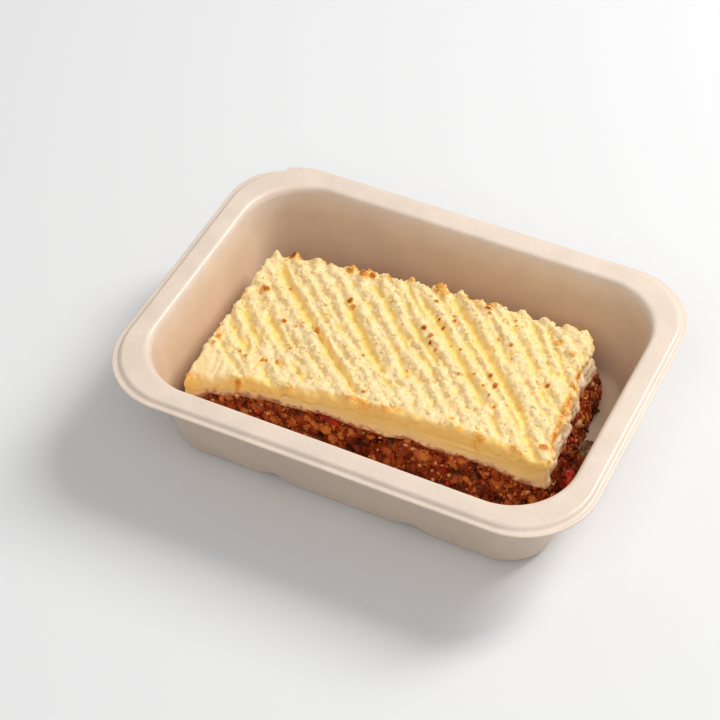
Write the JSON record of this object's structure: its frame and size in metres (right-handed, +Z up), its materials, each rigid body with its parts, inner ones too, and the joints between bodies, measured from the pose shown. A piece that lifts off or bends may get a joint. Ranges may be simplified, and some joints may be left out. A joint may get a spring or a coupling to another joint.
{
  "type": "ready meal pie portion in a fibre tray",
  "caption": "Rectangular slab of minced-meat pie with a fork-ridged mashed potato top, lying in its open flanged tray of moulded plant fibre.",
  "frame": {"origin": "centre of the tray's flat underside", "axes": "+X along the tray's long sides, +Y along its short sides towards the back, +Z up"},
  "size_m": [0.187, 0.137, 0.0437],
  "materials": {
    "moulded_fibre": "matt moulded plant fibre, smooth inside and with a fine screen grain outside",
    "mashed_potato": "moist mashed potato, forked into ridges, toasted golden on its edges with small brown spots",
    "minced_meat": "dark glossy minced meat in a thick sauce",
    "red_pepper": "soft cooked red pepper, wet",
    "cooked_onion": "soft cooked onion stained by the sauce"
  },
  "bodies": {
    "root": {"tray": "moulded_fibre", "mash_layer": "mashed_potato", "mince_layer": "minced_meat", "loose_mince": "minced_meat", "red_pepper_chunk": "red_pepper", "red_pepper_sliver": "red_pepper", "onion_chunk": "cooked_onion"}
  },
  "joints": []
}
